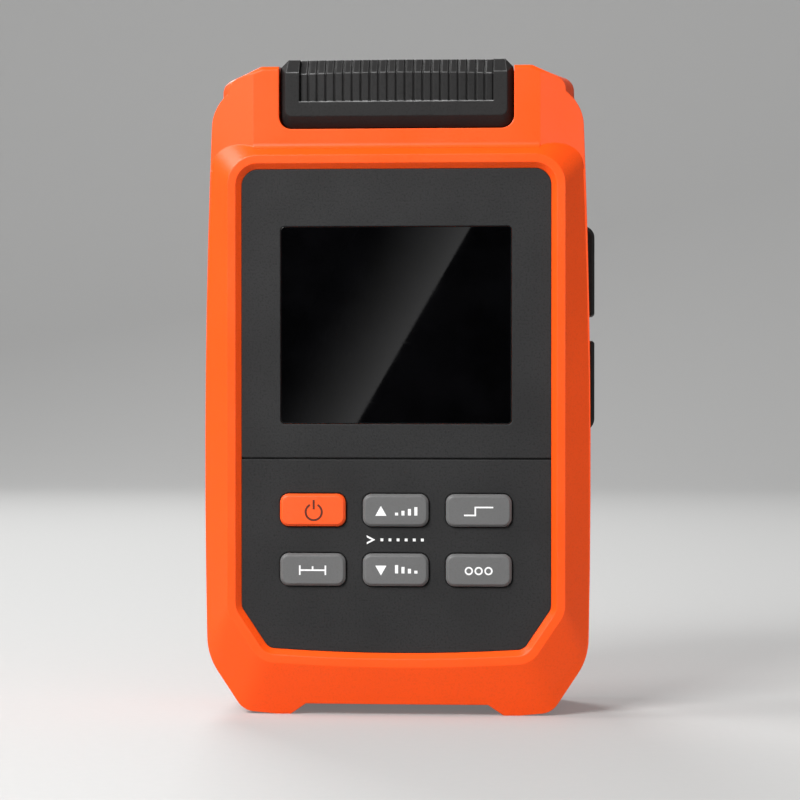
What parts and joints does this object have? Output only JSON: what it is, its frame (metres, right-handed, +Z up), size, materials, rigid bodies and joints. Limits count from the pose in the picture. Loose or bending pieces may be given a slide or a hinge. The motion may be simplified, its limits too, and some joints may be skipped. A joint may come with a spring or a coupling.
{
  "type": "optical power meter",
  "caption": "Pocket optical power meter: bowed orange two-part housing, grey front panel with display window and keypad, ribbed flip cover over the optical ports on top, side port covers.",
  "frame": {"origin": "middle of the footprint, on the floor that the two feet stand on", "axes": "+Z up towards the flip cover, -Y out of the face, +X towards the side with the port covers"},
  "size_m": [0.0701, 0.033, 0.1177],
  "materials": {
    "orange_shell": "fine satin texture",
    "panel_grey": "fine grain",
    "cover_grey": "satin",
    "window": "glossy dark tint",
    "display": "glossy",
    "light_guide": "milky",
    "key_orange": "matte",
    "key_grey": "matte",
    "silicone": "matte",
    "circuit_board": "solder mask",
    "tin_plate": "bright",
    "steel": "bright",
    "nickel": "satin",
    "black_plastic": "matte",
    "cell_wrap": "plain wrapper",
    "door_orange": "fine satin texture"
  },
  "bodies": {
    "case": {"rear_case": "orange_shell", "front_case": "orange_shell", "fascia": "panel_grey", "display_window": "window", "lcd_panel": "display", "backlight": "light_guide", "keypad_mat": "silicone", "main_board": "circuit_board", "amplifier_shield": "tin_plate", "buzzer": "black_plastic", "cover_hinge_pin": "steel", "left_optical_port": "nickel", "right_optical_port": "nickel", "left_port_nut": "nickel", "right_port_nut": "nickel", "left_detector": "nickel", "right_detector": "nickel", "upper_cover_pin": "steel", "lower_cover_pin": "steel", "usb_socket": "tin_plate", "charging_jack": "black_plastic", "battery_1": "cell_wrap", "battery_2": "cell_wrap", "battery_3": "cell_wrap", "lower_end_contact": "tin_plate", "lower_link_contact": "tin_plate", "upper_link_contact": "tin_plate", "upper_end_contact": "tin_plate", "case_screws": "steel"},
    "cover": {"flip_cover": "cover_grey"},
    "upper_flap": {"upper_port_cover": "cover_grey"},
    "lower_flap": {"lower_port_cover": "cover_grey"},
    "door": {"battery_door": "door_orange"},
    "power_key_cap": {"power_key": "key_orange"},
    "up_key_cap": {"up_key": "key_grey"},
    "threshold_key_cap": {"threshold_key": "key_grey"},
    "reference_key_cap": {"reference_key": "key_grey"},
    "down_key_cap": {"down_key": "key_grey"},
    "select_key_cap": {"select_key": "key_grey"}
  },
  "joints": [
    {"name": "cover_hinge", "type": "hinge", "parent": "case", "child": "cover", "pos_m": [0, 0.0129, 0.1147], "axis": [-1, 0, 0], "range_deg": [0, 120]},
    {"name": "upper_flap_hinge", "type": "hinge", "parent": "case", "child": "upper_flap", "pos_m": [0.0333, -0.002, 0.0859], "axis": [0, -1, 0], "range_deg": [0, 95]},
    {"name": "lower_flap_hinge", "type": "hinge", "parent": "case", "child": "lower_flap", "pos_m": [0.0333, -0.002, 0.0532], "axis": [0, 1, 0], "range_deg": [0, 95]},
    {"name": "battery_door_slide", "type": "slide", "parent": "case", "child": "door", "axis": [0, 1, 0], "range_m": [0, 0.025]},
    {"name": "power_key_press", "type": "slide", "parent": "case", "child": "power_key_cap", "axis": [0, 1, 0], "range_m": [0, 0.0006], "stiffness_N_per_m": 800},
    {"name": "up_key_press", "type": "slide", "parent": "case", "child": "up_key_cap", "axis": [0, 1, 0], "range_m": [0, 0.0006], "stiffness_N_per_m": 800},
    {"name": "threshold_key_press", "type": "slide", "parent": "case", "child": "threshold_key_cap", "axis": [0, 1, 0], "range_m": [0, 0.0006], "stiffness_N_per_m": 800},
    {"name": "reference_key_press", "type": "slide", "parent": "case", "child": "reference_key_cap", "axis": [0, 1, 0], "range_m": [0, 0.0006], "stiffness_N_per_m": 800},
    {"name": "down_key_press", "type": "slide", "parent": "case", "child": "down_key_cap", "axis": [0, 1, 0], "range_m": [0, 0.0006], "stiffness_N_per_m": 800},
    {"name": "select_key_press", "type": "slide", "parent": "case", "child": "select_key_cap", "axis": [0, 1, 0], "range_m": [0, 0.0006], "stiffness_N_per_m": 800}
  ]
}
